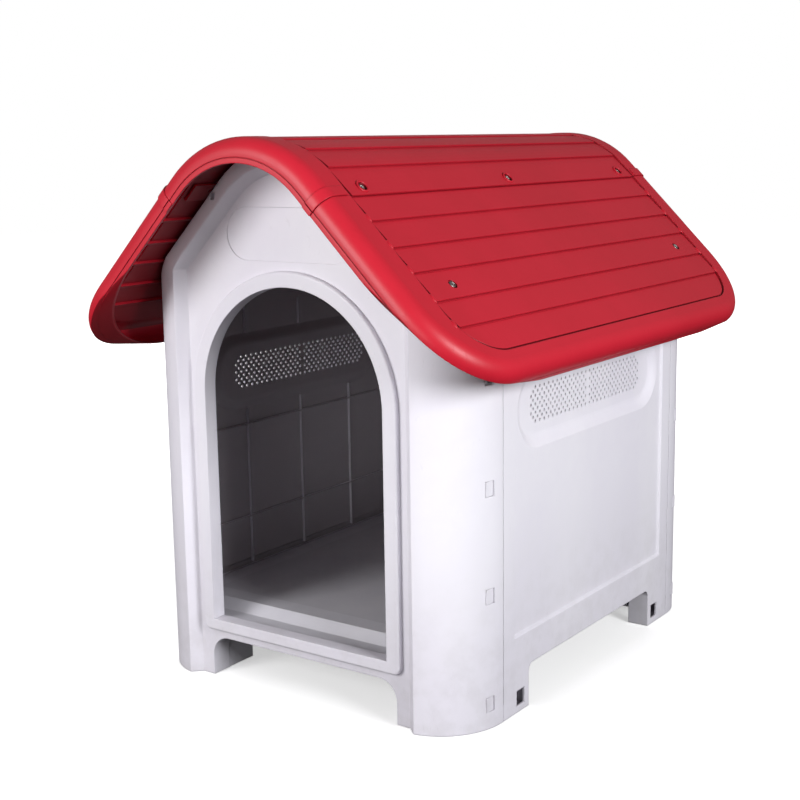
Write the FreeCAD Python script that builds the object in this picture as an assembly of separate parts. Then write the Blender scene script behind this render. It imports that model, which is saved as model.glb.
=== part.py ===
import FreeCAD, Part
import math
import os

# A moulded plastic pet house: four walls that clip together at round corner posts, a floor
# tray that drops in between them, and a three-piece roof held by screws.
# Frame: +X to the right seen from the door, +Y towards the back, +Z up; the origin lies on
# the ground at the middle of the house. All lengths are millimetres.

V = FreeCAD.Vector

# ---------------------------------------------------------------- driving dimensions
SKIN = 3.0            # wall thickness of every moulding
GAP = 0.3             # clearance between neighbouring mouldings

HALF_W = 236.5        # outside of the side walls
HALF_D = 303.0        # outside of the corner posts, front and back
POST_R = 82.0         # plan radius of the round corner posts
SEAM_Y = 217.0        # joint between the end walls and the side walls
SEAM_GAP = 0.8        # open gap along that joint
POST_X = 172.0        # where the post starts to turn back towards the field
FIELD_X = 158.0       # half width of the recessed field in the end walls
FIELD_Y = 290.0       # face of that field
END_BACK = 262.0      # inner edge of the end wall's return flanges
RAIL_Z = 51.0         # underside of the rails between the feet
FOOT_X = 140.0        # inner edge of the feet seen from the front
FOOT_Y = 160.0        # inner edge of the feet seen from the side
FOOT_IN = 208.0       # inner edge of the side wall's returns
FOOT_R = 25.0         # round between a rail and a foot

DOOR_X = 131.0        # half width of the doorway
SILL_Z = 76.0         # top of the sill
SPRING_Z = 361.0      # where the doorway's arch springs
TRIM_W = 18.0         # width of the raised door surround
TRIM_Y = 296.5        # face of the surround
JAMB_Y = 278.0        # inner edge of the jamb
TRIM_Z = 61.0         # lower edge of the surround

PLATE_Z, PLATE_H, PLATE_L = 550.5, 61.0, 184.0    # shallow name panel in the gable
PLATE_DEEP = 0.8

RIDGE_Z = 660.0       # top of the roof
ARC_R = 143.3         # outside radius of the rounded ridge
WALL_TOP = 10.0       # gap measured square to the roof from its outside to the walls
RIDGE_LINE = 27.5     # crisp edge of the gable band, measured the same way
BAND_Y = 297.0        # where the gable band meets the flange

ROOF_Y = 376.0        # front and back ends of the roof
RIM_DROP = 28.0       # depth of the rim
RIM_R = 18.0          # round on the rim
CAP_END = 28.5        # cap edge, measured down the slope from the end of the arc
EAVE = 282.0          # end of the slope panel, measured the same way
TONGUE = 8.0          # upper edge of the panel's hidden tongue
EAVE_R = 105.0        # plan radius of the panel's lower corners
LIP_R = 168.0         # the same corners at the rim's lower edge
SKIRT_TOP = 19.0      # depth where the rounded rim ends and its skirt starts
LIP_LINE = 21.5       # depth of the thin line round the rim
SLEEVE, SLEEVE_L = 1.5, 13.0   # the cap's rim ends in a sleeve over the panel's rim
ROOF_FIELD_Y = 333.0  # half length of the planked field
PLANK_END = 250.0     # lower end of the last plank
FIELD_R = 60.0        # plan radius of the planked field's lower corners
LAPS = [28.8, 65.0, 102.7, 138.0, 177.5, 213.0, 250.0]
STEP = 3.0            # planked field sits this far below the rim
CAP_LAPS = [26.0, 63.0, 99.0, 141.0]

SIDE_FIELD_Y, SIDE_FIELD_Z, SIDE_DEEP = 190.0, 94.0, 3.0
VENT_Z, VENT_H, VENT_L = 352.0, 94.0, 360.0
# the vent's rolled border: how far in from its outline, and how deep there
VENT_CURVE = [(-1.5, -0.8), (0.0, 0.3), (2.5, 1.4), (5.5, 3.2), (8.5, 5.2), (11.5, 6.7),
              (14.5, 7.4), (18.0, 7.5)]
HOLE_D, HOLE_DY, HOLE_DZ, HOLE_ROWS, HOLE_SIDE = 4.0, 10.2, 5.0, 9, 13

CLIP_Z = [29.0, 155.5, 278.0, 401.5]     # snap hooks up each seam, the top one left empty
CLIP_Y, CLIP_W, CLIP_H = 240.5, 13.0, 17.0

FLOOR_Z, STRIP_Z = 82.0, 72.0
RIB_Y, RIB_Z = [-112.0, 0.0, 112.0], [151.0, 279.0, 401.0]
RIB_T, RIB_H = 2.0, 4.0

CAP_SCREW_U, CAP_SCREW_Y = 17.0, [-300.0, 0.0, 300.0]
PANEL_SCREW_U, PANEL_SCREW_Y = 159.0, [-279.0, 279.0]
HEAD_D, HEAD_H, SHANK_D = 9.0, 2.4, 4.0

C45 = math.sqrt(0.5)
ARC_Z = RIDGE_Z - ARC_R
ARC_LEN = ARC_R * math.pi / 4


# ---------------------------------------------------------------- helpers
def box(x0, x1, y0, y1, z0, z1):
    return Part.makeBox(x1 - x0, y1 - y0, z1 - z0, V(x0, y0, z0))


def prism(points, direction):
    wire = Part.makePolygon([V(*p) for p in points] + [V(*points[0])])
    return Part.Face(wire).extrude(V(*direction))


def fuse(shapes):
    first = shapes[0]
    if len(shapes) > 1:
        first = first.multiFuse(shapes[1:])
    return first.removeSplitter()


def mirror_x(shape):
    return shape.mirror(V(0, 0, 0), V(1, 0, 0))


def mirror_y(shape):
    return shape.mirror(V(0, 0, 0), V(0, 1, 0))


def roof_at(u, deep):
    """Point (x, z) at u down the slope from the end of the ridge arc, deep below the skin.
    Negative u runs up round the arc."""
    if u >= 0:
        r = ARC_R - deep
        return (r * C45 + u * C45, ARC_Z + r * C45 - u * C45)
    angle = math.pi / 4 + u / ARC_R
    r = ARC_R - deep
    return (r * math.sin(angle), ARC_Z + r * math.cos(angle))


def gable_wire(y, deep, half, bottom):
    """Outline with upright sides, two roof slopes and the ridge arc, in the plane y."""
    r = ARC_R - deep
    tx, tz = r * C45, ARC_Z + r * C45
    side = ARC_Z + r / C45 - half
    pts = [V(tx, y, tz), V(half, y, side), V(half, y, bottom),
           V(-half, y, bottom), V(-half, y, side), V(-tx, y, tz)]
    arc = Part.Arc(pts[-1], V(0, y, ARC_Z + r), pts[0]).toShape()
    return Part.Wire([Part.makeLine(a, b) for a, b in zip(pts, pts[1:])] + [arc])


def gable_block(y0, y1, deep, half, bottom):
    return Part.Face(gable_wire(y0, deep, half, bottom)).extrude(V(0, y1 - y0, 0))


def stadium(x0, x1, z0, z1, y0, y1):
    """Long round-ended block, lying along x, through y0 to y1."""
    r = (z1 - z0) / 2
    zc = (z0 + z1) / 2
    top = [V(x0 + r, y0, z1), V(x1 - r, y0, z1)]
    low = [V(x1 - r, y0, z0), V(x0 + r, y0, z0)]
    wire = Part.Wire([Part.makeLine(*top), Part.Arc(top[1], V(x1, y0, zc), low[0]).toShape(),
                      Part.makeLine(*low), Part.Arc(low[1], V(x0, y0, zc), top[0]).toShape()])
    return wire


# ---------------------------------------------------------------- end walls
def post_plan(t, back):
    """Plan of an end wall: straight front, a quarter round at each corner."""
    w, d, r = HALF_W - t, HALF_D - t, POST_R - t
    k = r * (1 - C45)
    pts = [V(w, -back, 0), V(w, -d + r, 0), V(w - r, -d, 0), V(-w + r, -d, 0),
           V(-w, -d + r, 0), V(-w, -back, 0)]
    right = Part.Arc(pts[1], V(w - k, -d + k, 0), pts[2]).toShape()
    left = Part.Arc(pts[3], V(-w + k, -d + k, 0), pts[4]).toShape()
    edges = [Part.makeLine(pts[0], pts[1]), right, Part.makeLine(pts[2], pts[3]), left,
             Part.makeLine(pts[4], pts[5]), Part.makeLine(pts[5], pts[0])]
    return Part.Face(Part.Wire(edges))


def foot_gap(t):
    """Space under the rail between the two feet, rounded at the top."""
    r = FOOT_R + t
    x, z = FOOT_X + t, RAIL_Z + t
    # the round turns from the foot into the rail
    gap = box(-x, x, -400, -100, -10, z - r)
    gap = gap.fuse(box(-x + r, x - r, -400, -100, -10, z))
    for s in (-1, 1):
        gap = gap.fuse(Part.makeCylinder(r, 300, V(s * (x - r), -400, z - r), V(0, 1, 0)))
    return gap


def end_block(t, back):
    """Outer form of an end wall, drawn in by t on every face."""
    block = post_plan(t, back).extrude(V(0, 0, 700))
    block.translate(V(0, 0, t))
    band = Part.makeLoft([gable_wire(-HALF_D + t, RIDGE_LINE + t, HALF_W + 5, -20),
                          gable_wire(-BAND_Y + t, WALL_TOP + t, HALF_W + 5, -20)], True, True)
    rear = gable_block(-BAND_Y + t, -back + 5, WALL_TOP + t, HALF_W + 5, -20)
    block = block.common(band.fuse(rear))
    pocket = Part.makeLoft([gable_wire(-HALF_D - 1, RIDGE_LINE + 1.5 - t, POST_X + 1 + t, -30),
                            gable_wire(-FIELD_Y + t, RIDGE_LINE + 12 - t, FIELD_X + t, -30)],
                           True, True)
    return block.cut(pocket).cut(foot_gap(t))


def arch_block(half, bottom, y0, y1):
    """Round-topped block about the doorway's arch centre."""
    low = box(-half, half, y0, y1, bottom, SPRING_Z)
    return low.fuse(Part.makeCylinder(half, y1 - y0, V(0, y0, SPRING_Z), V(0, 1, 0)))


def door_surround():
    outer = arch_block(DOOR_X + TRIM_W, TRIM_Z, -TRIM_Y, -FIELD_Y + 2)
    low = [e for e in outer.Edges if abs(e.BoundBox.YLength - e.Length) < 0.01
           and abs(e.BoundBox.ZMin - TRIM_Z) < 0.1]
    outer = outer.makeFillet(10, low)
    face = [e for e in outer.Edges if abs(e.BoundBox.YMax + TRIM_Y) < 0.01]
    outer = outer.makeFillet(3, face)
    hollow = arch_block(DOOR_X + TRIM_W - SKIN, TRIM_Z + SKIN, -TRIM_Y + SKIN, -FIELD_Y + 3)
    jamb = arch_block(DOOR_X + SKIN, SILL_Z - SKIN, -TRIM_Y + 2, -JAMB_Y)
    return outer.cut(hollow).fuse(jamb)


def clip_windows():
    wins = []
    for s in (-1, 1):
        for z in CLIP_Z:
            x0, x1 = sorted((s * 222, s * 245))
            wins.append(box(x0, x1, -CLIP_Y - CLIP_W / 2 - GAP, -CLIP_Y + CLIP_W / 2 + GAP,
                            z - CLIP_H / 2 - GAP, z + CLIP_H / 2 + GAP))
    return wins


def screw_slots(y):
    """Slots in the rake flanges, long enough for the roof to lift away."""
    out = []
    for u0 in range(0, 9, 2):
        x, z = roof_at(PANEL_SCREW_U - u0, 0)
        for s in (-1, 1):
            out.append(Part.makeCylinder(SHANK_D / 2 + 0.6, 30, V(s * x, y, z),
                                         V(-s * C45, 0, -C45)))
    return out


def inner_ribs(door):
    """Stiffening ribs on the inside of the field."""
    ribs = []
    y0, y1 = -FIELD_Y + SKIN - 0.5, -FIELD_Y + SKIN + RIB_H
    for x in (-112.0, 0.0, 112.0):
        low = SPRING_Z + DOOR_X + TRIM_W if door else FLOOR_Z + 4
        if not door or abs(x) < 1:
            ribs.append(box(x - RIB_T / 2, x + RIB_T / 2, y0, y1, low, 560))
    for z in RIB_Z + [525.0]:
        if not door or z > 500:
            ribs.append(box(-150, 150, y0, y1, z - RIB_T / 2, z + RIB_T / 2))
    return [r.common(gable_block(y0 - 1, y1 + 1, 40, 155, 0)) for r in ribs]


def end_wall(door):
    wall = end_block(0, SEAM_Y).cut(end_block(SKIN, SEAM_Y - 20))
    # the return flanges are deep only at the posts
    wall = wall.cut(box(-FOOT_X - 12, FOOT_X + 12, -END_BACK, -100, RAIL_Z + 20, 700))
    wall = wall.cut(box(-FOOT_X - 1, FOOT_X + 1, -END_BACK, -100, -10, 700))
    parts = [wall] + inner_ribs(door)
    if door:
        parts.append(door_surround())
    wall = fuse(parts)
    cuts = clip_windows() + screw_slots(PANEL_SCREW_Y[0])
    if door:
        cuts.append(arch_block(DOOR_X, SILL_Z, -400, -200))
    half = PLATE_L / 2
    plate = Part.Face(stadium(-half, half, PLATE_Z - PLATE_H / 2, PLATE_Z + PLATE_H / 2,
                              -FIELD_Y - 1, 0)).extrude(V(0, 1 + PLATE_DEEP, 0))
    cuts.append(plate)
    # square locating holes in the gable band
    for s in (-1, 1):
        cuts.append(box(s * 104 - 4, s * 104 + 4, -400, -200, 589, 597))
    return wall.cut(Part.makeCompound(cuts))


# ---------------------------------------------------------------- side walls
def yz_stadium(x, t):
    """Vent outline in the plane x, drawn in by t."""
    wire = stadium(-VENT_L / 2 + t, VENT_L / 2 - t, VENT_Z - VENT_H / 2 + t,
                   VENT_Z + VENT_H / 2 - t, 0, 1)
    wire.rotate(V(0, 0, 0), V(0, 0, 1), 90)
    wire.translate(V(x, 0, 0))
    return wire


def side_block(t, inner):
    """Outer form of the right side wall, drawn in by t, back to the plane x = inner."""
    seam = SEAM_Y - SEAM_GAP
    block = box(inner, HALF_W - t, -seam, seam, RAIL_Z + t, 600)
    for s in (-1, 1):
        y0, y1 = sorted((s * (FOOT_Y + t), s * seam))
        block = block.fuse(box(inner, HALF_W - t, y0, y1, t, RAIL_Z + 10))
        # small round between rail and foot
        r = 10.0
        a = s * (FOOT_Y + t)
        y0, y1 = sorted((a, a - s * r))
        web = box(inner, HALF_W - t, y0, y1, RAIL_Z + t - r, RAIL_Z + t)
        web = web.cut(Part.makeCylinder(r, 400, V(inner - 5, a - s * r, RAIL_Z + t - r),
                                        V(1, 0, 0)))
        block = block.fuse(web)
    # the top follows the roof slope
    top = ARC_Z + (ARC_R - WALL_TOP - t) / C45
    block = block.common(prism([(0, -400, -10), (400, -400, -10), (400, -400, top - 400),
                                (0, -400, top)], (0, 800, 0)))
    face = HALF_W - t - SIDE_DEEP
    field_y, field_z = SIDE_FIELD_Y + t, SIDE_FIELD_Z - t
    out_y, out_z = field_y + 6, field_z - 6
    near = Part.makePolygon([V(face, -field_y, field_z), V(face, field_y, field_z),
                             V(face, field_y, 700), V(face, -field_y, 700),
                             V(face, -field_y, field_z)])
    far = Part.makePolygon([V(face + 6, -out_y, out_z), V(face + 6, out_y, out_z),
                            V(face + 6, out_y, 706), V(face + 6, -out_y, 706),
                            V(face + 6, -out_y, out_z)])
    block = block.cut(Part.makeLoft([near, far], True, True))
    vent = []
    for (in0, deep0), (in1, deep1) in zip(VENT_CURVE, VENT_CURVE[1:]):
        vent.append(Part.makeLoft([yz_stadium(face - deep0, in0 - t),
                                   yz_stadium(face - deep1, in1 - t)], True, True))
    return block.cut(fuse(vent))


def vent_holes():
    holes = []
    for row in range(HOLE_ROWS):
        z = VENT_Z + 1 + (row - (HOLE_ROWS - 1) / 2) * HOLE_DZ
        shift = 0.0 if row % 2 else HOLE_DY / 2
        short = 1 if row in (0, HOLE_ROWS - 1) else 0
        count = HOLE_SIDE if row % 2 else HOLE_SIDE + 1 - short
        for s in (-1, 1):
            for i in range(1, count + 1):
                y = s * (i * HOLE_DY - shift)
                holes.append(Part.makeCylinder(HOLE_D / 2, 20, V(HALF_W - 25, y, z), V(1, 0, 0)))
    return Part.makeCompound(holes)


def snap_hooks():
    """Tongues that reach behind the corner posts and fill their windows."""
    out = []
    for s in (-1, 1):
        for i, z in enumerate(CLIP_Z):
            z0, z1 = z - CLIP_H / 2, z + CLIP_H / 2
            def piece(x0, x1, ya, yb):
                y0, y1 = sorted((s * ya, s * yb))
                return box(x0, x1, y0, y1, z0, z1)
            out.append(piece(224.0, HALF_W - SKIN + 0.5, SEAM_Y - 8, SEAM_Y - 0.2))
            out.append(piece(224.0, 227.0, SEAM_Y - 4, CLIP_Y + 9))
            if i < len(CLIP_Z) - 1:
                out.append(piece(226.5, 233.6, CLIP_Y - CLIP_W / 2, CLIP_Y + CLIP_W / 2))
    return out


def side_ribs():
    ribs = []
    x1 = HALF_W - SIDE_DEEP - SKIN + 0.5
    x0 = x1 - RIB_H - 0.5
    for y in RIB_Y:
        ribs.append(box(x0, x1, y - RIB_T / 2, y + RIB_T / 2, FLOOR_Z + 4, 440))
    for z in RIB_Z:
        ribs.append(box(x0, x1, -SEAM_Y + 8, SEAM_Y - 8, z - RIB_T / 2, z + RIB_T / 2))
    keep_out = box(x0 - 5, x1 + 5, -VENT_L / 2 + 6, VENT_L / 2 - 6, VENT_Z - VENT_H / 2 - 4,
                   VENT_Z + VENT_H / 2 + 4)
    return [r.cut(keep_out) for r in ribs if r.cut(keep_out).Volume > 1]


def side_wall():
    wall = side_block(0, FOOT_IN).cut(side_block(SKIN, FOOT_IN - 30))
    wall = fuse([wall] + snap_hooks() + side_ribs())
    cuts = [vent_holes()]
    for s in (-1, 1):
        y0, y1 = sorted((s * 169.5, s * 187.5))
        cuts.append(box(HALF_W - 10, HALF_W + 5, y0, y1, 7.6, 26.4))
    return wall.cut(Part.makeCompound(cuts))


# ---------------------------------------------------------------- floor
def floor_tray():
    """Pressed tray: a flat bed, a lower strip at the door, a skirt down to the rails."""
    def outline(t):
        w, d, r = 227.5 - t, 283.0 - t, 76.0 - t
        block = box(-w, w, -d, d, 0, 200)
        return block.makeFillet(r, [e for e in block.Edges if e.BoundBox.ZLength > 190])
    def section(t):
        d = 300
        return prism([(-300, -d, 40), (-300, -d, STRIP_Z - t), (-300, -252 + t / 2, STRIP_Z - t),
                      (-300, -236 + t / 2, FLOOR_Z - t), (-300, d, FLOOR_Z - t), (-300, d, 40)],
                     (600, 0, 0))
    base = RAIL_Z + SKIN + GAP
    tray = outline(0).common(section(0)).cut(outline(SKIN).common(section(SKIN)))
    inside = outline(1).common(section(1))
    ribs = [box(x - 1.2, x + 1.2, -300, 300, 62, 90) for x in (-150, -75, 0, 75, 150)]
    ribs += [box(-300, 300, y - 1.2, y + 1.2, 62, 90) for y in (-180, -90, 0, 90, 180)]
    tray = fuse([tray] + [r.common(inside) for r in ribs])
    tray = tray.cut(box(-400, 400, -400, 400, -10, base))
    # the door jamb and the deep parts of the posts stand in the front strip
    tray = tray.cut(box(-150, 150, -400, -JAMB_Y + GAP, 0, 200))
    return tray.cut(box(-150, 150, JAMB_Y + 6, 400, 0, 200))


# ---------------------------------------------------------------- roof
def cap_band(top, low, end, y):
    """Solid band under the rounded ridge between two depths, long 2*y."""
    def rail(deep):
        a, b = roof_at(end, deep), roof_at(0, deep)
        return a, b, (0, ARC_Z + ARC_R - deep)
    (ax, az), (bx, bz), (cx, cz) = rail(top)
    (dx, dz), (ex, ez), (fx, fz) = rail(low)
    edges = [Part.makeLine(V(-ax, -y, az), V(-bx, -y, bz)),
             Part.Arc(V(-bx, -y, bz), V(cx, -y, cz), V(bx, -y, bz)).toShape(),
             Part.makeLine(V(bx, -y, bz), V(ax, -y, az)),
             Part.makeLine(V(ax, -y, az), V(dx, -y, dz)),
             Part.makeLine(V(dx, -y, dz), V(ex, -y, ez)),
             Part.Arc(V(ex, -y, ez), V(fx, -y, fz), V(-ex, -y, ez)).toShape(),
             Part.makeLine(V(-ex, -y, ez), V(-dx, -y, dz)),
             Part.makeLine(V(-dx, -y, dz), V(-ax, -y, az))]
    return Part.Face(Part.Wire(edges)).extrude(V(0, 2 * y, 0))


def cap_solid(t, low, end):
    band = cap_band(t, low, end, ROOF_Y - t)
    edges = []
    for e in band.Edges:
        b, mid = e.BoundBox, e.valueAt((e.FirstParameter + e.LastParameter) / 2)
        along = abs(abs(mid.y) - (ROOF_Y - t)) < 0.01 and b.YLength < 0.01
        if along and abs(depth_of(mid) - t) < 0.05:
            edges.append(e)
    return band.makeFillet(RIM_R - t, edges)


def depth_of(p):
    """Depth of a point below the roof's outside, square to it."""
    x = abs(p.x)
    if x - (p.z - ARC_Z) <= 0:
        return ARC_R - math.hypot(x, p.z - ARC_Z)
    return (ARC_Z + ARC_R / C45 - x - p.z) * C45


def plank(u0, u1, steps):
    """Lapped plank in section: flush at its top edge, proud at its lower edge."""
    top, low = [], []
    for i in range(steps + 1):
        k = i / steps
        u = u0 + (u1 - u0) * k
        top.append(roof_at(u, STEP - 0.6 - (STEP - 0.8) * k))
        low.append(roof_at(u, STEP + 0.5))
    return [(x, 0, z) for x, z in top + low[::-1]]


def cap_screw_holes(r, deep0, deep1):
    out = []
    for s in (-1, 1):
        x, z = roof_at(CAP_SCREW_U, deep0)
        for y in CAP_SCREW_Y:
            out.append(Part.makeCylinder(r, deep1 - deep0, V(s * x, y, z), V(-s * C45, 0, -C45)))
    return out


def ridge_cap():
    cap = cap_solid(0, RIM_DROP, CAP_END).cut(cap_solid(SKIN, RIM_DROP + 12, CAP_END + 20))
    for s in (-1, 1):
        sleeve = cap_solid(-SLEEVE, RIM_DROP, CAP_END).cut(cap_solid(0.5, RIM_DROP + 9, CAP_END + 9))
        y0, y1 = sorted((s * (ROOF_FIELD_Y + 4), s * (ROOF_Y + 9)))
        for side in (-1, 1):
            end = prism([(x, y0, z) for x, z in (roof_at(CAP_END - SLEEVE_L, -9),
                                                 roof_at(CAP_END - SLEEVE_L, 40),
                                                 roof_at(CAP_END + 9, 40),
                                                 roof_at(CAP_END + 9, -9))], (0, y1 - y0, 0))
            cap = cap.fuse(sleeve.common(end if side > 0 else mirror_x(end)))
    line = cap_band(LIP_LINE, LIP_LINE + 1, CAP_END + 9, ROOF_Y + 9)
    cap = cap.cut(line.cut(cap_band(LIP_LINE - 2, LIP_LINE + 3, CAP_END + 12, ROOF_Y - 0.8)))
    cap = cap.cut(cap_band(-2, STEP, CAP_END + 5, ROOF_FIELD_Y))
    under = cap_band(STEP, STEP + SKIN, CAP_END, ROOF_FIELD_Y + SKIN)
    planks = [under]
    for s0, s1 in zip(CAP_LAPS, CAP_LAPS[1:]):
        pts = plank(s0 - ARC_LEN + 1.5, s1 - ARC_LEN - (0 if s1 > 140 else 0.2), 5)
        body = prism(pts, (0, 2 * ROOF_FIELD_Y - 8, 0))
        body.translate(V(0, -ROOF_FIELD_Y + 4, 0))
        planks += [body, mirror_x(body)]
    half = CAP_LAPS[0] - 1.0
    crest = []
    for i in range(9):
        crest.append(roof_at(-ARC_LEN - half + i * half / 4, 0.9))
    bottom = [roof_at(-ARC_LEN + half - i * half / 4, STEP + 0.5) for i in range(9)]
    body = prism([(x, 0, z) for x, z in crest + bottom], (0, 2 * ROOF_FIELD_Y - 8, 0))
    body.translate(V(0, -ROOF_FIELD_Y + 4, 0))
    cap = fuse([cap] + planks + [body])
    holes = cap_screw_holes(HEAD_D / 2 + 1.5, -4, STEP) + cap_screw_holes(SHANK_D / 2 + 0.1, -4, 20)
    return cap.cut(Part.makeCompound(holes))


def panel_frame(shape):
    """Take a shape drawn flat (x down the slope, z out of it) to the right-hand slope."""
    m = FreeCAD.Matrix(C45, 0, C45, ARC_R * C45, 0, 1, 0, 0, -C45, 0, C45, ARC_Z + ARC_R * C45,
                       0, 0, 0, 1)
    return shape.transformed(m, True)


def panel_plan(u0, u1, y, r, z0, z1):
    block = box(u0, u1, -y, y, z0, z1)
    low = [e for e in block.Edges if e.BoundBox.ZLength > z1 - z0 - 0.01
           and abs(e.BoundBox.XMax - u1) < 0.01]
    return block.makeFillet(r, low)


def rim_edges(block, z, u_top):
    return [e for e in block.Edges if abs(e.BoundBox.ZMin - z) < 0.01
            and abs(e.BoundBox.ZMax - z) < 0.01 and e.BoundBox.XMax > u_top + 0.1]


def plan_wire(u0, t, r, z):
    """Outline of the panel at one depth, drawn in by t, with lower corners of radius r."""
    u1, y, r = EAVE - t, ROOF_Y - t, r - t
    c = r * (1 - C45)
    return Part.Wire([
        Part.makeLine(V(u0, -y, z), V(u1 - r, -y, z)),
        Part.Arc(V(u1 - r, -y, z), V(u1 - c, -y + c, z), V(u1, -y + r, z)).toShape(),
        Part.makeLine(V(u1, -y + r, z), V(u1, y - r, z)),
        Part.Arc(V(u1, y - r, z), V(u1 - c, y - c, z), V(u1 - r, y, z)).toShape(),
        Part.makeLine(V(u1 - r, y, z), V(u0, y, z)),
        Part.makeLine(V(u0, y, z), V(u0, -y, z))])


def rim_form(u0, t):
    """Outer form of the panel and its rim, drawn in by t."""
    top = panel_plan(u0, EAVE - t, ROOF_Y - t, EAVE_R - t, -SKIRT_TOP, -t)
    top = top.makeFillet(RIM_R - t, rim_edges(top, -t, u0))
    skirt = Part.makeLoft([plan_wire(u0, t, EAVE_R, -SKIRT_TOP),
                           plan_wire(u0, t, LIP_R, -RIM_DROP)], True, True)
    form = top.fuse(skirt)
    if t:
        mouth = Part.Face(plan_wire(u0, t, LIP_R, -RIM_DROP)).extrude(V(0, 0, -12))
        form = form.fuse(mouth)
    return form


def rim_groove(u0):
    """Thin line round the rim above its lip."""
    r = EAVE_R + (LIP_R - EAVE_R) * (LIP_LINE - SKIRT_TOP) / (RIM_DROP - SKIRT_TOP)
    ring = Part.Face(plan_wire(u0 - 5, -8, r, -LIP_LINE)).extrude(V(0, 0, -1.0))
    core = Part.Face(plan_wire(u0 - 10, 0.8, r, -LIP_LINE + 2)).extrude(V(0, 0, -6))
    return ring.cut(core)


def slope_panel():
    u0 = CAP_END + GAP
    outer = rim_form(u0, 0)
    inner = rim_form(u0 - 20, SKIN)
    shell = outer.cut(inner).cut(rim_groove(u0))
    shell = shell.cut(panel_plan(u0 - 10, PLANK_END + 2, ROOF_FIELD_Y, FIELD_R, -STEP, 5))
    bed = panel_plan(u0, PLANK_END + 2 + SKIN, ROOF_FIELD_Y + SKIN, FIELD_R + 2,
                     -STEP - SKIN, -STEP)
    parts = [shell, bed]
    field = panel_plan(u0 - 10, PLANK_END, ROOF_FIELD_Y - 4, FIELD_R - 3, -10, 5)
    for a, b in zip(LAPS, LAPS[1:]):
        body = prism([(a + 1.5, -340, -STEP - 0.5), (a + 1.5, -340, -STEP + 0.6),
                      (b - 0.2, -340, -0.2), (b - 0.2, -340, -STEP - 0.5)], (0, 680, 0))
        parts.append(body.common(field))
    # ribs under each lap bear on the walls
    for u in LAPS[1:-1]:
        rib = box(u - 1.3, u + 1.3, -ROOF_Y + 5, ROOF_Y - 5, -WALL_TOP + GAP, -SKIN - 1)
        parts.append(rib.common(outer))
    # tongue under the cap
    deep = STEP + SKIN + GAP
    y = ROOF_FIELD_Y - 4
    parts.append(box(TONGUE, u0 + 4, -y, y, -deep - SKIN, -deep))
    parts.append(box(u0, u0 + 4, -y, y, -deep - SKIN, -STEP - 0.5))
    panel = fuse(parts)
    cuts = []
    for u, ys in ((PANEL_SCREW_U, PANEL_SCREW_Y), (CAP_SCREW_U, CAP_SCREW_Y)):
        for yy in ys:
            cuts.append(Part.makeCylinder(SHANK_D / 2 + 0.1, 30, V(u, yy, -25)))
            if u == PANEL_SCREW_U:
                cuts.append(Part.makeCylinder(HEAD_D / 2 + 1.5, 10, V(u, yy, -STEP)))
    return panel_frame(panel.cut(Part.makeCompound(cuts)))


# ---------------------------------------------------------------- screws
def screw(tip):
    """Pan-head cross-recess screw, head seat at z = 0, pointing down."""
    head = Part.makeCylinder(HEAD_D / 2, HEAD_H)
    head = head.makeFillet(1.3, [e for e in head.Edges if abs(e.BoundBox.ZMin - HEAD_H) < 0.01])
    shank = Part.makeCylinder(SHANK_D / 2, tip - 2, V(0, 0, -tip + 2))
    point = Part.makeCone(0.4, SHANK_D / 2, 2, V(0, 0, -tip))
    body = head.fuse([shank, point])
    for a, b in ((2.4, 0.5), (0.5, 2.4)):
        body = body.cut(box(-a, a, -b, b, HEAD_H - 1.4, HEAD_H + 1))
    return body.removeSplitter()


def screw_group(u, ys, tip):
    out = []
    for y in ys:
        one = screw(tip)
        one.translate(V(u, y, -STEP))
        out.append(panel_frame(one))
    return Part.makeCompound(out)


# ---------------------------------------------------------------- the set of parts
def main():
    os.makedirs("parts", exist_ok=True)
    panel = slope_panel()
    side = side_wall()
    ridge_screws = screw_group(CAP_SCREW_U, CAP_SCREW_Y, 9.0)
    rake_screws = screw_group(PANEL_SCREW_U, PANEL_SCREW_Y, 14.0)
    nodes = {
        "front_wall": end_wall(True),
        "rear_wall": mirror_y(end_wall(False)),
        "right_wall": side,
        "left_wall": mirror_x(side),
        "floor_tray": floor_tray(),
        "roof_ridge_cap": ridge_cap(),
        "roof_slope_right": panel,
        "roof_slope_left": mirror_x(panel),
        "ridge_screws_right": ridge_screws,
        "ridge_screws_left": mirror_x(ridge_screws),
        "rake_screws_right": rake_screws,
        "rake_screws_left": mirror_x(rake_screws),
    }
    for name, shape in nodes.items():
        print(name, len(shape.Solids), shape.isValid(), shape.BoundBox, round(shape.Volume / 1000))
        shape.exportStep(f"parts/{name}.step")


main()
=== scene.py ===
# %% [markdown]
# A moulded dog house, piece by piece.
# The real thing is eight plastic mouldings and ten screws. Four walls clip together round
# a floor tray, and a three-piece roof, screwed along its ridge, sits on top of them.
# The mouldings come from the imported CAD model, so every size and place is already right.
# This lesson gives them their plastic, adds the small things that catch the light, and
# sets up a plain white studio.

# %% Load the frame
import math

import bmesh
import bpy
from mathutils import Matrix, Vector


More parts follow.
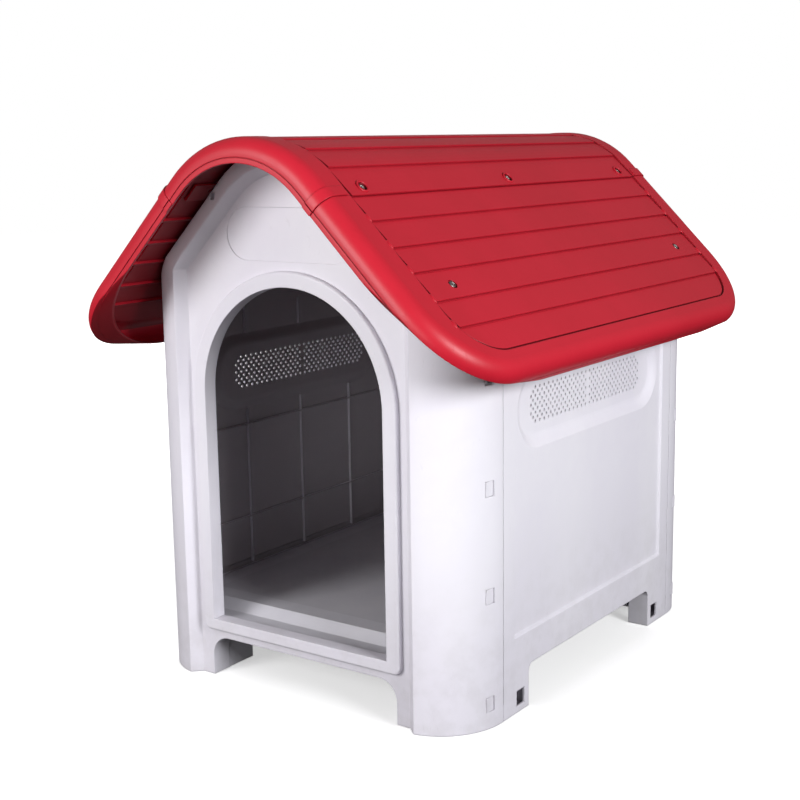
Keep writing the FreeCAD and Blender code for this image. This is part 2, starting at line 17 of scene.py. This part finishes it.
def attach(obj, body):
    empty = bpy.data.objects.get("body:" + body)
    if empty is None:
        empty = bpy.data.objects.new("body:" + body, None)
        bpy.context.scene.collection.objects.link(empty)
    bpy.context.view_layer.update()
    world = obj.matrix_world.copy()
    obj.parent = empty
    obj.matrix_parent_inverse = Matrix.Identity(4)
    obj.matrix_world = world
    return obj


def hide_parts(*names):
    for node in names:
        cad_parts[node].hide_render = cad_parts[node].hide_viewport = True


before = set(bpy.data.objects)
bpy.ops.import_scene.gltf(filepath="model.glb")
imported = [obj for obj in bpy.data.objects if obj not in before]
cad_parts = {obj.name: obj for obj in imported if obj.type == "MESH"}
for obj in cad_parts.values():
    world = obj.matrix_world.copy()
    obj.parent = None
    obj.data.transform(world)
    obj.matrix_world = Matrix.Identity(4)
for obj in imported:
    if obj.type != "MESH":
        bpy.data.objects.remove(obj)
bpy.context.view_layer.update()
scene = bpy.context.scene


# %% [markdown]
# The camera stands in front of the right-hand corner, a little above the ridge, and looks
# slightly down. It could be aimed with a Track To constraint, but a house is judged by its
# upright edges, so the heading, tilt and roll are set one by one and turned into axes.

# %% Camera
CAMERA_PLACE = Vector((1.0066, -1.4927, 0.6546))
HEADING, TILT, ROLL = 0.6185, 0.1860, -0.0154
LENS_MM, SENSOR_MM = 62.44, 36.0


def camera_axes(heading, tilt, roll):
    """Right, up and forward of a camera that is turned, tilted down and rolled."""
    ahead = Vector((-math.sin(heading) * math.cos(tilt),
                    math.cos(heading) * math.cos(tilt), -math.sin(tilt)))
    right = Vector((math.cos(heading), math.sin(heading), 0))
    up = right.cross(ahead)
    return (right * math.cos(roll) + up * math.sin(roll),
            up * math.cos(roll) - right * math.sin(roll), ahead)


right, up, ahead = camera_axes(HEADING, TILT, ROLL)
lens = bpy.data.cameras.new("camera")
lens.lens, lens.sensor_width = LENS_MM, SENSOR_MM
camera = bpy.data.objects.new("camera", lens)
turn = Matrix((right, up, -ahead)).transposed()
camera.matrix_world = Matrix.Translation(CAMERA_PLACE) @ turn.to_4x4()
scene.collection.objects.link(camera)
scene.camera = camera
print("camera looks along", [round(v, 3) for v in ahead])


# %% [markdown]
# Materials and Geometry Nodes trees are both made of nodes joined by wires. Adding each
# Math node by hand hides the sum it does, so a small class wraps a socket and gives it
# +, -, * and the rest. An expression in Python then adds its own Math nodes, and every
# other node comes from one method.

# %% Node helpers
class Wire:
    """One output socket that can be used in a Python expression."""

    def __init__(self, tree, socket):
        self.tree, self.socket = tree, socket

    def __add__(self, other):
        return self.tree.maths("ADD", self, other)

    def __sub__(self, other):
        return self.tree.maths("SUBTRACT", self, other)

    def __rsub__(self, other):
        return self.tree.maths("SUBTRACT", other, self)

    def __mul__(self, other):
        return self.tree.maths("MULTIPLY", self, other)

    def __pow__(self, other):
        return self.tree.maths("POWER", self, other)

    __radd__, __rmul__ = __add__, __mul__


class Tree:
    """A node tree with one method for any node, and short ones for sums."""

    def __init__(self, nodes_of):
        self.nodes, self.links = nodes_of.nodes, nodes_of.links

    def node(self, kind, settings=None, sockets=None, out=0):
        """Adds a node, sets it, fills its sockets, and returns one output as a Wire."""
        n = self.nodes.new(kind)
        for name, value in (settings or {}).items():
            setattr(n, name, value)
        for name, value in (sockets or {}).items():
            if isinstance(value, Wire):
                self.links.new(value.socket, n.inputs[name])
            else:
                n.inputs[name].default_value = value
        return Wire(self, n.outputs[out]) if len(n.outputs) else n

    def maths(self, operation, *values):
        sockets = dict(enumerate(values))
        return self.node("ShaderNodeMath", {"operation": operation}, sockets)

    def step(self, value, low, high, start=0.0, end=1.0):
        """Eases from start to end while value goes from low to high."""
        return self.node("ShaderNodeMapRange", {"interpolation_type": "SMOOTHSTEP"},
                         {0: value, 1: low, 2: high, 3: start, 4: end})

    def mix(self, share, a, b):
        """A colour between a and b."""
        return self.node("ShaderNodeMix", {"data_type": "RGBA"}, {0: share, 6: a, 7: b}, out=2)

    def split(self, vector):
        """The x, y and z of a vector."""
        x = self.node("ShaderNodeSeparateXYZ", None, {0: vector})
        return [Wire(self, o) for o in x.socket.node.outputs]


def colour(red, green, blue):
    """A screen colour, 0 to 255, as the linear light that Blender works in."""
    def linear(v):
        v /= 255
        return v / 12.92 if v <= 0.04045 else ((v + 0.055) / 1.055) ** 2.4
    return (linear(red), linear(green), linear(blue), 1.0)


def new_material(name):
    """An empty node material and the tree to fill."""
    made = bpy.data.materials.new(name)
    made.use_nodes = True
    made.node_tree.nodes.clear()
    return made, Tree(made.node_tree)


print("a full white is", colour(255, 255, 255))


# %% [markdown]
# The walls are injection-moulded polypropylene, near white with a cool tint. Up close it
# isn't one colour: the melt leaves faint cloudy flow marks, the steel mould leaves a fine
# spark grain, and handling leaves soft scuffs. Crevices and seams get painted shade, and
# the tone gets darker in cloudy patches near the ground: dust, plus painted shade for the
# dimmer light there. Painted shade also darkens the cabin faces of the side and rear walls,
# the floor, and the faces under the roof. The front wall's skin gets no cabin shade on its
# inner side, so seen from behind with the roof off it is lighter than its neighbours.
# Separate material slots would do the same, but each moulding has only one, so two masks
# read a face's place and the way it points instead.

# %% Which faces are inside
CABIN_X, CABIN_FRONT, CABIN_BACK, CABIN_FLOOR = 0.2340, -0.2775, 0.3005, 0.0815
NEAR_SIDE, NEAR_END = 0.200, 0.210      # past these a face belongs to a wall's skin
TURNED_IN, LEANS_IN = -0.3, -0.15       # how far a face has to point inwards


def inner_faces(t, place):
    """1 where painted shade goes on the cabin faces of the side and rear walls and on the floor
    inside them, 0 on the front wall's skin and on everything outside."""
    x, y, z = t.split(place)
    nx, ny, _ = t.split(t.node("ShaderNodeNewGeometry", out=3))

    def near_wall(along, from_middle):
        return t.maths("GREATER_THAN", t.maths("ABSOLUTE", along), from_middle)

    def looks_in(along, normal):
        return t.maths("LESS_THAN", t.maths("SIGN", along) * normal, TURNED_IN)

    room = (t.maths("LESS_THAN", t.maths("ABSOLUTE", x), CABIN_X)
            * t.maths("GREATER_THAN", y, CABIN_FRONT) * t.maths("LESS_THAN", y, CABIN_BACK)
            * t.maths("GREATER_THAN", z, CABIN_FLOOR))
    by_side, by_end = near_wall(x, NEAR_SIDE), near_wall(y, NEAR_END)
    skins = t.maths("MAXIMUM", by_side * looks_in(x, nx), by_end * looks_in(y, ny))
    return room * t.maths("MAXIMUM", skins, (1 - by_side) * (1 - by_end))


def roof_underside(t, place):
    """1 on the faces under a slope, which lean down and in and get painted shade, 0 on the
    rim's outer faces.
    """
    x = t.split(place)[0]
    nx, _, nz = t.split(t.node("ShaderNodeNewGeometry", out=3))
    return (t.maths("LESS_THAN", t.maths("SIGN", x) * nx, LEANS_IN)
            * t.maths("LESS_THAN", nz, LEANS_IN))


# The painted shade inside the cabin reaches this far.
print("inner finish reaches", 2 * CABIN_X, "by", round(CABIN_BACK - CABIN_FRONT, 4), "m")


# %% [markdown]
# The plastic itself is one recipe for all three colours. Each mark is one noise pattern
# that changes the tone only a little, because a strong one would look like print.
# The Bevel node rounds the light on sharp edges, as a real mould's small radii do, and
# Ambient Occlusion finds the crevices, seams and laps, which get painted shade.

# %% Moulded plastic
EDGE_RADIUS = 0.0016      # the small radius a mould gives every edge
CREVICE_SHADE_REACH = 0.010        # how far from a wall a crevice still gets painted shade
GRAIN_SIZE = 1400.0       # spark grain, patterns per metre, as are the next three
CLOUD_SIZE = 38.0         # soft blotches
FLOW_SIZE = 5.0           # cloudy flow marks
SCUFF_SIZE = 60.0
FLOW_SHARE, CLOUD_SHARE, DUST_AND_SHADE_SHARE, SCUFF_SHARE = 0.75, 0.25, 0.28, 0.10
GRAIN_DEEP, CLOUD_DEEP, FLOW_DEEP, SCUFF_DEEP = 0.00004, 0.00009, 0.0006, 0.00003


def plastic_marks(t, place):
    """The noise patterns of moulded plastic: flow marks, blotches, grain and scuffs."""
    def noise(at, size, **more):
        return t.node("ShaderNodeTexNoise", None, {"Vector": at, "Scale": size, **more})

    drawn = t.node("ShaderNodeMapping", None, {"Vector": place, "Scale": (1, 1, 0.35)})
    flow = noise(drawn, FLOW_SIZE, Detail=4.0, Distortion=0.8)
    cloud = noise(place, CLOUD_SIZE, Detail=5.0, Roughness=0.6)
    grain = noise(place, GRAIN_SIZE, Detail=2.0)
    dragged = t.node("ShaderNodeMapping", None,
                     {"Vector": place, "Rotation": (0.4, 0.9, 0.3), "Scale": (1, 9, 1)})
    scratch = noise(dragged, SCUFF_SIZE, Detail=6.0, Distortion=1.5)
    return flow, cloud, grain, t.step(scratch, 0.62, 0.74) * t.step(cloud, 0.45, 0.6)


def moulded_plastic(name, pale, deep, shade_and_grime, rough, dust_and_shade_top, crevice_shade, inner_shade=0.0, underside_shade=0.0):
    """Plastic in two near tones, with flow marks, grain and scuffs, painted shade in the
    crevices, inside the cabin and under the roof, and darker cloudy patches near the ground
    (dust plus painted shade). The two last arguments say how much painted shade the cabin's and
    the roof's inner faces get."""
    made, t = new_material(name)
    place = t.node("ShaderNodeTexCoord", out=3)
    flow, cloud, grain, scuffs = plastic_marks(t, place)
    # Painted shade: Ambient Occlusion darkens crevices, seams and plank laps towards the dark
    # colour.
    occluded = t.node("ShaderNodeAmbientOcclusion", {"samples": 8},
                  {"Distance": CREVICE_SHADE_REACH}, out=1)
    crevice = 1 - t.step(occluded, 0.15, 0.75)
    # Darker in cloudy patches towards the ground: dust, plus painted shade for the dimmer light
    # near the floor.
    low_down = t.step(t.split(place)[2], 0.0, dust_and_shade_top, 1.0, 0.0)
    dust_and_shade = low_down * t.step(cloud, 0.35, 0.7, 0.5, 1.0)
    tone = t.mix(t.step(flow, 0.3, 0.7) * FLOW_SHARE + t.step(cloud, 0.3, 0.7) * CLOUD_SHARE,
                 deep, pale)
    # Painted shade on the cabin's inner faces and under the roof, the ground darkening, the
    # scuffs, then painted shade in the crevices, each mixed towards the dark colour.
    for share in (inner_faces(t, place) * inner_shade, roof_underside(t, place) * underside_shade,
                  dust_and_shade * DUST_AND_SHADE_SHARE, scuffs * SCUFF_SHARE, crevice * crevice_shade):
        tone = t.mix(share, tone, shade_and_grime)
    roughness = rough + scuffs * 0.16 + (flow - 0.5) * 0.08 + crevice * 0.12 + dust_and_shade * 0.1
    edge = t.node("ShaderNodeBevel", {"samples": 6}, {"Radius": EDGE_RADIUS})
    relief = grain * GRAIN_DEEP + cloud * CLOUD_DEEP + flow * FLOW_DEEP - scuffs * SCUFF_DEEP
    bump = t.node("ShaderNodeBump", None,
                  {"Height": relief, "Strength": 0.55, "Distance": 1.0, "Normal": edge})
    shader = t.node("ShaderNodeBsdfPrincipled", None,
                    {"Base Color": tone, "Roughness": roughness, "Normal": bump,
                     "Specular IOR Level": 0.42, "IOR": 1.49})
    t.node("ShaderNodeOutputMaterial", None, {"Surface": shader})
    return made


# %% The three plastics
# Each dark colour serves both the real scuffs and the painted shade in crevices, inside the
# cabin, under the roof and near the ground.
white_shell = moulded_plastic("white_shell", pale=colour(238, 236, 243),
                              deep=colour(231, 228, 238), shade_and_grime=colour(150, 144, 147),
                              rough=0.42, dust_and_shade_top=0.26, crevice_shade=0.30, inner_shade=0.76)
grey_floor = moulded_plastic("floor_plastic", pale=colour(226, 225, 231),
                             deep=colour(214, 213, 221), shade_and_grime=colour(120, 116, 118),
                             rough=0.36, dust_and_shade_top=0.02, crevice_shade=0.35, inner_shade=0.12)
red_roof = moulded_plastic("red_roof", pale=colour(202, 30, 50), deep=colour(193, 27, 45),
                           shade_and_grime=colour(84, 8, 15), rough=0.42, dust_and_shade_top=0.02,
                           crevice_shade=0.90, underside_shade=0.75)
print("plastics", [m.name for m in (white_shell, grey_floor, red_roof)])


# %% [markdown]
# The screws are zinc-plated steel. Plating is bright but never even: it has a faint
# mottle, and the driver leaves fine turning marks round the recess. Painted shade darkens
# the recess itself.

# %% Plated steel
MOTTLE_SIZE, DRIVER_MARKS = 700.0, 4200.0      # patterns per metre
# how far the recess's painted shade reaches
RECESS_REACH = 0.002
STEEL_ROUGH, STEEL_UNEVEN, MARK_DEEP = 0.30, 0.22, 0.00003


def plated_steel():
    made, t = new_material("plated_steel")
    place = t.node("ShaderNodeTexCoord", out=3)
    mottle = t.node("ShaderNodeTexNoise", None,
                    {"Vector": place, "Scale": MOTTLE_SIZE, "Detail": 3.0})
    fine = t.node("ShaderNodeTexNoise", None,
                  {"Vector": place, "Scale": DRIVER_MARKS, "Detail": 2.0})
    occluded = t.node("ShaderNodeAmbientOcclusion", {"samples": 8},
                  {"Distance": RECESS_REACH}, out=1)
    tone = t.mix(t.step(mottle, 0.3, 0.7), colour(128, 122, 120), colour(168, 163, 160))
    # Painted shade: the cross recess darkens towards dark grey where Ambient Occlusion finds
    # it.
    tone = t.mix(1 - t.step(occluded, 0.2, 0.8), tone, colour(70, 66, 64))
    bump = t.node("ShaderNodeBump", None,
                  {"Height": fine * MARK_DEEP, "Strength": 0.5, "Distance": 1.0})
    shader = t.node("ShaderNodeBsdfPrincipled", None,
                    {"Base Color": tone, "Roughness": STEEL_ROUGH + mottle * STEEL_UNEVEN,
                     "Normal": bump, "Metallic": 1.0})
    t.node("ShaderNodeOutputMaterial", None, {"Surface": shader})
    return made


steel = plated_steel()
print("screws are", steel.name)


# %% [markdown]
# Eight of the CAD nodes are the mouldings themselves, with their real walls, ribs, holes
# and laps. They could be modelled again, but a second shape would only drift from the
# first, so they stay and take their plastic in their own material slots.

# %% Dress the mouldings
FINISHES = {"front_wall": white_shell, "rear_wall": white_shell, "left_wall": white_shell,
            "right_wall": white_shell, "floor_tray": grey_floor, "roof_ridge_cap": red_roof,
            "roof_slope_left": red_roof, "roof_slope_right": red_roof}
for node, finish in FINISHES.items():
    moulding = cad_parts[node]
    for i in range(len(moulding.material_slots)):
        moulding.material_slots[i].material = finish
    print(node, "is", finish.name)


# %% [markdown]
# The ten screws are round-headed, with a cross recess. One could be modelled and copied
# by hand, but a Geometry Nodes tree makes the head from its sizes and drops it on every
# seat, so a screw is changed in one place. The tree starts from a fine square block,
# bends the square round into a disc, lifts the top into a dome, and sinks the cross.
# The seats are read from the CAD screws: their top faces give the place and the slope.

# %% Where the screws sit
TOP_FACE = 0.00005        # points this near the highest one are on the head's top face


def screw_seats(node):
    """Centres of the heads' top faces in a group of CAD screws, and the way they point."""
    points = [v.co.copy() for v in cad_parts[node].data.vertices]
    side = 1 if sum(p.x for p in points) > 0 else -1
    way = Vector((side, 0, 1)).normalized()
    top = max(p.dot(way) for p in points)
    seats = {}
    for p in points:
        if p.dot(way) > top - TOP_FACE:
            seats.setdefault(round(p.y, 1), []).append(p)
    centres = [(Vector(map(min, zip(*s))) + Vector(map(max, zip(*s)))) / 2
               for s in seats.values()]
    return centres, way


# %% [markdown]
# Every tree here ends the same way: the small shape goes on each point, is turned along
# the slope, is made real geometry and takes its finish. That ending, the named inputs and
# the step that turns the result into a plain mesh are written once.

# %% A Geometry Nodes tree with named sizes
class Cage(Tree):
    """A Geometry Nodes tree with named inputs for its sizes."""

    def __init__(self, name, inputs):
        self.group = bpy.data.node_groups.new(name, "GeometryNodeTree")
        super().__init__(self.group)
        face = self.group.interface
        face.new_socket("Geometry", in_out="INPUT", socket_type="NodeSocketGeometry")
        for label, kind in inputs.items():
            face.new_socket(label, in_out="INPUT", socket_type=kind)
        face.new_socket("Geometry", in_out="OUTPUT", socket_type="NodeSocketGeometry")
        entry = self.nodes.new("NodeGroupInput")
        self.given = {o.name: Wire(self, o) for o in entry.outputs if o.name}

    def plant(self, shape, axis, spin=None):
        """Puts the shape on every point with its axis along Way, and ends the tree."""
        lie = self.node("FunctionNodeAlignRotationToVector", {"axis": axis},
                        {"Vector": self.given["Way"]})
        placed = self.node("GeometryNodeInstanceOnPoints", None,
                           {"Points": self.given["Geometry"], "Instance": shape,
                            "Rotation": lie})
        if spin:
            placed = self.node("GeometryNodeRotateInstances", None,
                               {"Instances": placed, "Rotation": spin})
        real = self.node("GeometryNodeRealizeInstances", None, {0: placed})
        smooth = self.node("GeometryNodeSetShadeSmooth", None, {"Geometry": real})
        finished = self.node("GeometryNodeSetMaterial", None,
                             {"Geometry": smooth, "Material": self.given["Finish"]})
        self.node("NodeGroupOutput", None, {0: finished})

    def run(self, name, points, **values):
        """Grows the tree on a mesh of points and returns the result as a plain mesh."""
        seed = bpy.data.meshes.new(name)
        seed.from_pydata([tuple(p) for p in points], [], [])
        made = bpy.data.objects.new(name, seed)
        scene.collection.objects.link(made)
        grow = made.modifiers.new("grow", "NODES")
        grow.node_group = self.group
        for item in self.group.interface.items_tree:
            if item.in_out == "INPUT" and item.name in values:
                grow[item.identifier] = values[item.name]
        ready = made.evaluated_get(bpy.context.evaluated_depsgraph_get())
        plain = bpy.data.meshes.new_from_object(ready)
        made.modifiers.remove(grow)
        made.data = plain
        plain.name = name
        bpy.data.meshes.remove(seed)
        return made


# %% [markdown]
# The block's corners reach the disc's rim because each side is pulled in by the share the
# other one has, so no point is doubled. The recess is a soft step on both arms of the
# cross. A Boolean could cut it, but it would leave long thin faces round the cut.

# %% Screw head tree
HEAD_RADIUS, HEAD_HEIGHT = 0.0045, 0.0024
HEAD_GRID, HEAD_LAYERS = 29, 4             # points across the block, and up it
SLOT_HALF, SLOT_REACH, SLOT_DEPTH = 0.15, 0.60, 0.62      # shares of the head's sizes
SLOT_SIDE_EASE, SLOT_END_EASE = 0.05, 0.18                # how softly the cross begins
CROWN_FALL, BROW_FALL = 0.25, 0.45         # how far the dome drops to its edge
ANY_TURN = 3.1                             # screws stop at any angle up to this


def head_tree():
    cage = Cage("screw_heads", {"Radius": "NodeSocketFloat", "Height": "NodeSocketFloat",
                                "Way": "NodeSocketVector", "Seed": "NodeSocketInt",
                                "Finish": "NodeSocketMaterial"})
    radius, height = cage.given["Radius"], cage.given["Height"]
    block = cage.node("GeometryNodeMeshCube", None,
                      {"Size": (2, 2, 2), "Vertices X": HEAD_GRID, "Vertices Y": HEAD_GRID,
                       "Vertices Z": HEAD_LAYERS})
    x, y, z = cage.split(cage.node("GeometryNodeInputPosition"))
    round_x = x * (1 - y * y * 0.5) ** 0.5
    round_y = y * (1 - x * x * 0.5) ** 0.5
    far = round_x * round_x + round_y * round_y
    wide_x, wide_y = cage.maths("ABSOLUTE", round_x), cage.maths("ABSOLUTE", round_y)

    def arm(across, along):
        side, end = SLOT_SIDE_EASE, SLOT_END_EASE
        return (cage.step(across, SLOT_HALF - side, SLOT_HALF + side, 1, 0)
                * cage.step(along, SLOT_REACH - end, SLOT_REACH, 1, 0))

    cross = cage.maths("MAXIMUM", arm(wide_x, wide_y), arm(wide_y, wide_x))
    dome = 1 - far * CROWN_FALL - far ** 6 * BROW_FALL - cross * SLOT_DEPTH
    level = (z + 1) * 0.5
    lift = cage.node("ShaderNodeCombineXYZ", None,
                     {0: round_x * radius, 1: round_y * radius,
                      2: level * dome * height - height})
    head = cage.node("GeometryNodeSetPosition", None, {"Geometry": block, "Position": lift})
    chance = cage.node("FunctionNodeRandomValue", {"data_type": "FLOAT"},
                       {2: 0.0, 3: ANY_TURN, "Seed": cage.given["Seed"]}, out=1)
    cage.plant(head, "Z", spin=cage.node("ShaderNodeCombineXYZ", None, {2: chance}))
    return cage


heads = head_tree()
print("screw head tree has", len(heads.group.nodes), "nodes")


# %% [markdown]
# A screw stops wherever it becomes tight, so no two crosses line up. Each group has its
# own fixed seed, so the same turns come back every time. The new heads take the place of
# the plain CAD ones and ride with the roof.

# %% Put the screws in
SCREW_GROUPS = ("ridge_screws_left", "ridge_screws_right",
                "rake_screws_left", "rake_screws_right")
for number, node in enumerate(SCREW_GROUPS):
    seats, way = screw_seats(node)
    group = heads.run(node + "_heads", seats, Radius=HEAD_RADIUS,
                      Height=HEAD_HEIGHT, Way=way, Seed=number, Finish=steel)
    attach(group, "roof")
    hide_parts(node)
    print(node, len(seats), "heads,", len(group.data.polygons), "faces")


# %% [markdown]
# The small parts of the roof sit on its 45 degree slopes. Their places could be typed in
# one by one, but a mould is laid out along the slope, so one function measures down it.

# %% Roof slope as a ruler
SLOPE = math.sqrt(0.5)


def slope_place(side, start, down, along, out):
    """A point on a 45 degree slope: down it from start, along the house, out of it."""
    return Vector((side * (start.x + (down + out) * SLOPE), along,
                   start.z + (out - down) * SLOPE))


slope_start = Vector((0.1013, 0, 0.6180))     # where the rounded ridge turns straight
print("planks start at", [round(v, 4) for v in slope_start])


# %% [markdown]
# Where each plank of the roof ends, the mould leaves a small raised tab. Cutting the tabs
# into the roof's own mesh would give the same look but a heavier shape. They repeat along
# a straight row, so one tree drops a pebble-shaped tab on every plank end.

# %% Plank end tabs
PLANK_LAPS = (0.065, 0.1027, 0.138, 0.1775, 0.213)     # lower edges, down the slope
TAB_ALONG = 0.3315        # from the middle of the house to the end of the planks
TAB_BACK, TAB_SUNK = 0.0045, 0.0010                    # up from the lap, and into the roof
TAB_LENGTH, TAB_WIDTH, TAB_HEIGHT = 0.013, 0.0062, 0.0044


def tab_tree():
    cage = Cage("plank_tabs", {"Length": "NodeSocketFloat", "Width": "NodeSocketFloat",
                               "Height": "NodeSocketFloat", "Way": "NodeSocketVector",
                               "Finish": "NodeSocketMaterial"})
    pebble = cage.node("GeometryNodeMeshIcoSphere", None, {"Radius": 0.5, "Subdivisions": 3})
    x, y, z = cage.split(cage.node("GeometryNodeInputPosition"))
    flat = cage.node("ShaderNodeCombineXYZ", None,
                     {0: x * cage.given["Length"], 1: y * cage.given["Width"],
                      2: z * cage.given["Height"]})
    tab = cage.node("GeometryNodeSetPosition", None, {"Geometry": pebble, "Position": flat})
    cage.plant(tab, "X")
    return cage


tabs = tab_tree()
for side, name in ((-1, "left"), (1, "right")):
    spots = [slope_place(side, slope_start, lap - TAB_BACK, end * TAB_ALONG, -TAB_SUNK)
             for lap in PLANK_LAPS for end in (-1, 1)]
    row = tabs.run("plank_tabs_" + name, spots, Length=TAB_LENGTH, Width=TAB_WIDTH,
                   Height=TAB_HEIGHT, Way=Vector((side, 0, -1)).normalized(),
                   Finish=red_roof)
    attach(row, "roof")
    print(row.name, len(spots), "tabs")


# %% [markdown]
# A low collar stands round each ridge screw. A torus would do, but a circle swept along
# another circle keeps its two radii as separate, named inputs.

# %% Screw collars
COLLAR_RADIUS, COLLAR_BAR, COLLAR_SUNK = 0.0072, 0.0014, 0.0004
RING_STEPS, BAR_STEPS = 40, 12


def collar_tree():
    cage = Cage("screw_collars", {"Radius": "NodeSocketFloat", "Bar": "NodeSocketFloat",
                                  "Way": "NodeSocketVector", "Finish": "NodeSocketMaterial"})
    path = cage.node("GeometryNodeCurvePrimitiveCircle", {"mode": "RADIUS"},
                     {"Resolution": RING_STEPS, "Radius": cage.given["Radius"]})
    bar = cage.node("GeometryNodeCurvePrimitiveCircle", {"mode": "RADIUS"},
                    {"Resolution": BAR_STEPS, "Radius": cage.given["Bar"]})
    ring = cage.node("GeometryNodeCurveToMesh", None, {"Curve": path, "Profile Curve": bar})
    cage.plant(ring, "Z")
    return cage


collars = collar_tree()
for side, name in ((-1, "left"), (1, "right")):
    seats, way = screw_seats("ridge_screws_" + name)
    skin = Vector((side * slope_start.x, 0, slope_start.z)).dot(way)
    rims = [s + way * (skin - s.dot(way) - COLLAR_SUNK) for s in seats]
    made = collars.run("screw_collars_" + name, rims, Radius=COLLAR_RADIUS,
                       Bar=COLLAR_BAR, Way=way, Finish=red_roof)
    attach(made, "roof")
    print(made.name, len(rims), "collars")


# %% [markdown]
# A house needs a floor to stand on. The studio is a wide pale floor under an even white
# sky, so nothing but the house has an edge in it. The paper could be lit by the lamps
# alone, but it would end in a grey line. A glow of its own, stronger further out, fades
# it into the sky.

# %% Studio floor
FLOOR_REACH = 9.0
PAPER_NEAR, PAPER_FAR = 0.48, 1.0    # glow of the paper under the house and far away
FADE_FROM, FADE_TO = 0.5, 1.7        # metres from the middle of the house
FLOOR_DROP = 0.0005       # the paper lies this far under the feet

wide = bmesh.new()
bmesh.ops.create_circle(wide, cap_ends=True, segments=96, radius=FLOOR_REACH)
studio_mesh = bpy.data.meshes.new("studio_floor")
wide.to_mesh(studio_mesh)
wide.free()
studio_floor = bpy.data.objects.new("studio_floor", studio_mesh)
studio_floor.location.z = -FLOOR_DROP
studio_floor.visible_diffuse = studio_floor.visible_glossy = False
scene.collection.objects.link(studio_floor)
paper, t = new_material("studio_paper")
spread = t.node("ShaderNodeVectorMath", {"operation": "LENGTH"},
                {0: t.node("ShaderNodeTexCoord", out=3)}, out=1)
glow = t.mix(t.step(spread, FADE_FROM, FADE_TO),
             (PAPER_NEAR,) * 3 + (1,), (PAPER_FAR,) * 3 + (1,))
shader = t.node("ShaderNodeBsdfPrincipled", None,
                {"Base Color": (0.9, 0.9, 0.9, 1), "Roughness": 0.9,
                 "Emission Color": glow, "Emission Strength": 1.0})
t.node("ShaderNodeOutputMaterial", None, {"Surface": shader})
studio_mesh.materials.append(paper)
print("floor is", 2 * FLOOR_REACH, "m wide")

# %% [markdown]
# The sky is pure white to the eye but a weak lamp, and weaker still from below, so that it
# doesn't flatten the walls. One plain white background would light everything as strongly
# as it looks, so the Light Path node gives the camera and the light different strengths.

# %% Sky
SKY_LIGHT = 0.20          # how bright the sky is as a lamp
HORIZON, FROM_BELOW = 0.3, 0.15      # half height of the fade, and light from under it

sky = bpy.data.worlds.new("sky")
sky.use_nodes = True
t = Tree(sky.node_tree)
seen = t.node("ShaderNodeLightPath")
rise = t.split(t.node("ShaderNodeTexCoord"))[2]
glow = seen + (1 - seen) * t.step(rise, -HORIZON, HORIZON, FROM_BELOW, 1.0) * SKY_LIGHT
t.links.new(glow.socket, sky.node_tree.nodes["Background"].inputs["Strength"])
sky.node_tree.nodes["Background"].inputs["Color"].default_value = (1, 1, 1, 1)
scene.world = sky
scene.view_settings.view_transform = "Standard"
print("sky lights at", SKY_LIGHT)

# %% [markdown]
# Four large soft lamps give the house its form: a key at the front, a low one that reaches
# under the front overhang, one at the right and one behind. A single sun would be simpler
# but its hard shadow would hide the laps and seams.

# %% Lamps
def soft_lamp(name, place, target, size, power, tint, mirrored=True):
    lamp = bpy.data.lights.new(name, "AREA")
    lamp.shape, lamp.size = "DISK", size
    lamp.energy, lamp.color = power, tint
    holder = bpy.data.objects.new(name, lamp)
    holder.location = place
    holder.visible_glossy = mirrored      # False keeps its glare off the ridge
    holder.rotation_euler = (Vector(target) - Vector(place)).to_track_quat("-Z", "Y").to_euler()
    scene.collection.objects.link(holder)
    print(name, "lamp,", power, "W")


WARM, EVEN, COOL = (1.0, 0.985, 0.99), (0.99, 0.99, 1.0), (0.98, 0.985, 1.0)
soft_lamp("key", (-0.85, -2.45, 1.0), (0, 0, 0.4), 1.2, 41.0, WARM)
soft_lamp("low_fill", (0.35, -2.5, 0.22), (-0.1, 0, 0.5), 1.0, 11.0, WARM)
soft_lamp("side", (2.5, -0.75, 1.05), (0, 0, 0.4), 1.0, 61.0, COOL)
soft_lamp("back", (-1.7, 2.4, 1.25), (0, 0, 0.35), 1.6, 62.0, EVEN, False)
